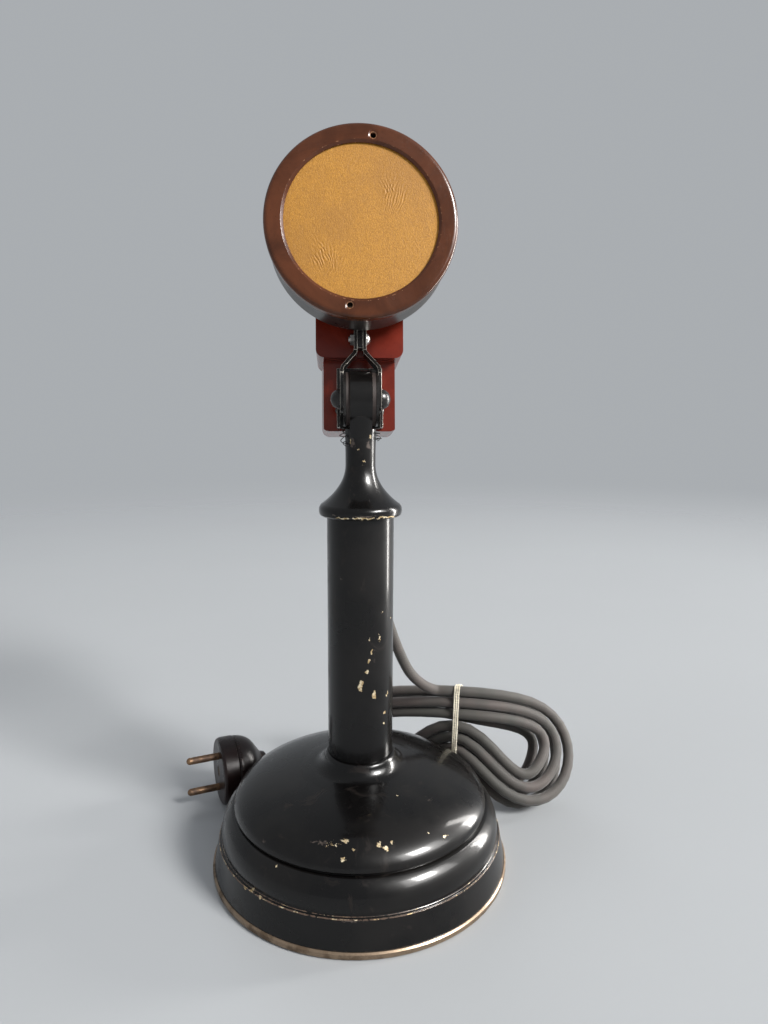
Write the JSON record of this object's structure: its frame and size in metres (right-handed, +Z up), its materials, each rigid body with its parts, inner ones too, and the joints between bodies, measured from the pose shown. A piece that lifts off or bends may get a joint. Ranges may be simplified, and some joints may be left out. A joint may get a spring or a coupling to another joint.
{
  "type": "table microphone",
  "caption": "Early round-capsule microphone on a black telephone-style table stand, with tilting fork, transformer box, tied cord and two-pin plug.",
  "frame": {"origin": "centre of the base's underside, on the surface that the stand rests on", "axes": "+Z up along the column; the round front faces -Y; +X to the right as seen from the front, along the tilt bolt"},
  "size_m": [0.2255, 0.1823, 0.354],
  "materials": {
    "black_lacquer": "glossy black stoving lacquer, chipped to brass and primer at edges",
    "worn_brass": "dulled, worn bright on edges",
    "plain_steel": "plain rolled steel",
    "screw_steel": "nickelled, scuffed",
    "dark_steel": "dark blued steel with bright worn edges",
    "cast_iron": "rough casting",
    "green_felt": "matt felt",
    "satin_grey": "satin grey-black",
    "brown_plastic": "semi-gloss brown phenolic",
    "oxblood_plastic": "glossy oxblood phenolic",
    "gold_cloth": "fine gold-ochre cloth, wrinkled",
    "clear_mica": "thin split mica",
    "black_carbon": "matt carbon",
    "white_marble": "sawn marble",
    "grey_card": "oiled card",
    "red_fibre": "vulcanised fibre",
    "wound_coil": "wound coil in waxed cotton tape",
    "black_rubber": "hard rubber",
    "grey_textile": "braided grey-brown textile",
    "pale_string": "twisted cotton string",
    "plug_plastic": "dark red-brown phenolic"
  },
  "bodies": {
    "stand": {"base_rim": "worn_brass", "base_shell": "black_lacquer", "bottom_plate": "plain_steel", "felt_pad": "green_felt", "bottom_screws": "screw_steel", "ballast_weight": "cast_iron", "ballast_screws": "screw_steel", "foot_flange": "plain_steel", "column_tube": "black_lacquer", "cord_grommet": "black_rubber", "cord_stop": "pale_string", "column_lead": "grey_textile", "neck_cap": "black_lacquer", "neck_screw": "screw_steel", "head_lead": "grey_textile", "fibre_washers": "red_fibre", "cord_lead": "grey_textile", "cord_hank": "grey_textile", "hank_tie": "pale_string", "cord_tail": "grey_textile", "plug_base": "plug_plastic", "plug_cap": "plug_plastic", "plug_pins": "worn_brass", "plug_screw": "worn_brass"},
    "head": {"pivot_bolt": "dark_steel", "pivot_nut": "dark_steel", "steel_washers": "dark_steel", "fork_arm_left": "dark_steel", "fork_arm_right": "dark_steel", "fork_bracket": "dark_steel", "bracket_rivets": "dark_steel", "pinch_screws": "screw_steel", "head_bracket": "dark_steel", "centre_bolt": "screw_steel", "centre_nut": "screw_steel", "barrel_housing": "satin_grey", "front_ring": "brown_plastic", "front_cloth": "gold_cloth", "guard_screen": "plain_steel", "spacer_ring": "red_fibre", "diaphragm": "clear_mica", "clamp_ring": "worn_brass", "carbon_granules": "black_carbon", "carbon_electrodes": "black_carbon", "capsule_block": "white_marble", "capsule_terminals": "worn_brass", "capsule_gasket": "grey_card", "transformer_box": "oxblood_plastic", "box_cover": "oxblood_plastic", "cover_screws": "worn_brass", "lead_bush": "black_rubber", "transformer_core": "plain_steel", "transformer_coil": "wound_coil", "transformer_clamp": "plain_steel", "terminal_strip": "brown_plastic", "terminal_screws": "worn_brass", "strip_leads": "grey_textile", "capsule_leads": "gold_cloth"}
  },
  "joints": [
    {"name": "head_tilt", "type": "hinge", "parent": "stand", "child": "head", "pos_m": [0, 0, 0.2335], "axis": [1, 0, 0], "range_deg": [-14, 38], "deforming": ["head_lead"]}
  ]
}
